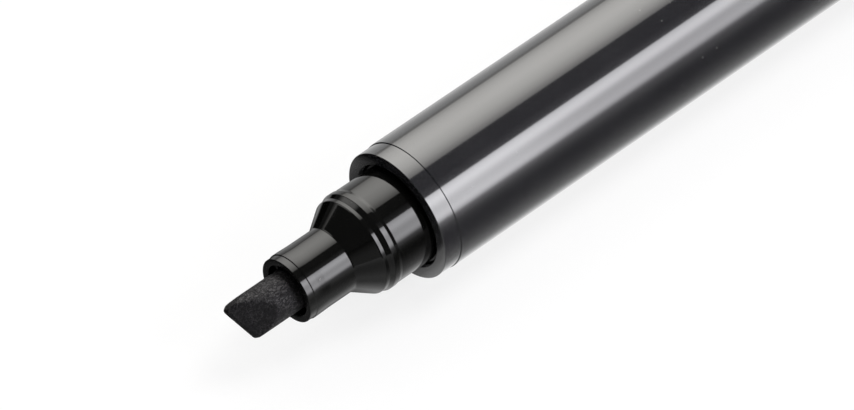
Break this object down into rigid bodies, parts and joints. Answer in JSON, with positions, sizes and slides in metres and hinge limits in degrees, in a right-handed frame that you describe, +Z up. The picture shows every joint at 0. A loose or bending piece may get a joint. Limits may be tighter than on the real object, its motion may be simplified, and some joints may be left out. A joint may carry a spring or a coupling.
{
  "type": "permanent marker",
  "caption": "Black permanent marker lying on its side, with a slanted chisel nib, stepped nozzle, straight round barrel and a clip cap posted on the tail.",
  "frame": {"origin": "on the table under the middle of the marker, which lies on its side", "axes": "+X along the marker from nib to tail, +Z up, the cap's clip low on the -Y side"},
  "size_m": [0.1554, 0.0176, 0.0155],
  "materials": {
    "barrel_plastic": "polished, very dark grey",
    "label_film": "glossy dark film, no print",
    "nozzle_plastic": "polished black",
    "nib_fibre": "pressed fibre soaked with black ink",
    "reservoir_fibre": "fibre bundle soaked with black ink",
    "reservoir_film": "clear film",
    "tail_plastic": "polished black",
    "cap_plastic": "polished black",
    "liner_plastic": "satin pale grey"
  },
  "bodies": {
    "marker": {"barrel": "barrel_plastic", "label_film": "label_film", "nozzle": "nozzle_plastic", "nib": "nib_fibre", "ink_reservoir": "reservoir_fibre", "reservoir_wrap": "reservoir_film", "tail_plug": "tail_plastic"},
    "cap": {"cap_shell": "cap_plastic", "cap_liner": "liner_plastic"}
  },
  "joints": [
    {"name": "cap_slide", "type": "slide", "parent": "marker", "child": "cap", "axis": [1, 0, 0], "range_m": [0, 0.03]}
  ]
}
